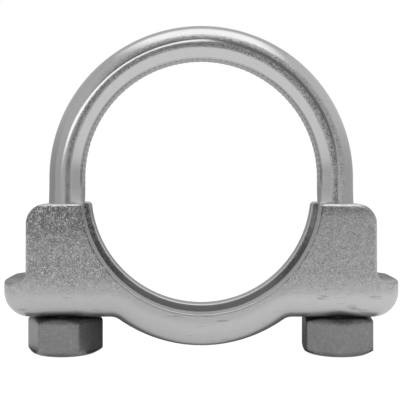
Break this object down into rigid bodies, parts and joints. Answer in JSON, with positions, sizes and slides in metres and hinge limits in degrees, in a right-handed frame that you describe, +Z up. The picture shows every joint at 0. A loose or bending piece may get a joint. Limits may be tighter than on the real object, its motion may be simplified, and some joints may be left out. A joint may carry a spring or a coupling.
{
  "type": "exhaust pipe u-bolt clamp",
  "caption": "U-bolt pipe clamp: a bent threaded rod with a serrated flat inside its bend, a pressed steel saddle with a round cradle, and hexagon nuts that draw the two together.",
  "frame": {"origin": "on the axis of the clamped pipe, at the middle of the saddle's width", "axes": "+X across the clamp from the left nut to the right, +Y along the pipe, +Z up from the saddle to the bend"},
  "size_m": [0.0754, 0.0174, 0.0638],
  "materials": {
    "pressed_sheet": "zinc plated, orange-peel rough on the ears, smoother in the bends",
    "bright_rod": "bright zinc plated, faint drawing lines along the rod",
    "nut_steel": "plain matt grey steel"
  },
  "bodies": {
    "saddle": {"saddle": "pressed_sheet"},
    "u_bolt": {"u_bolt": "bright_rod"},
    "left_nut": {"left_nut": "nut_steel"},
    "right_nut": {"right_nut": "nut_steel"}
  },
  "joints": [
    {"name": "bolt_draw", "type": "slide", "parent": "saddle", "child": "u_bolt", "axis": [0, 0, -1], "range_m": [-0.00375, 0.0035]},
    {"name": "left_nut_turn", "type": "hinge", "parent": "saddle", "child": "left_nut", "pos_m": [-0.0266, 0, -0.02735], "axis": [0, 0, 1], "range_deg": [-1081, 1009]},
    {"name": "right_nut_turn", "type": "hinge", "parent": "saddle", "child": "right_nut", "pos_m": [0.0266, 0, -0.02735], "axis": [0, 0, 1], "range_deg": [-1081, 1009]}
  ],
  "couplings": [
    {"joint": "left_nut_turn", "follows": "bolt_draw", "rad_per_m": 5026.5},
    {"joint": "right_nut_turn", "follows": "bolt_draw", "rad_per_m": 5026.5}
  ]
}
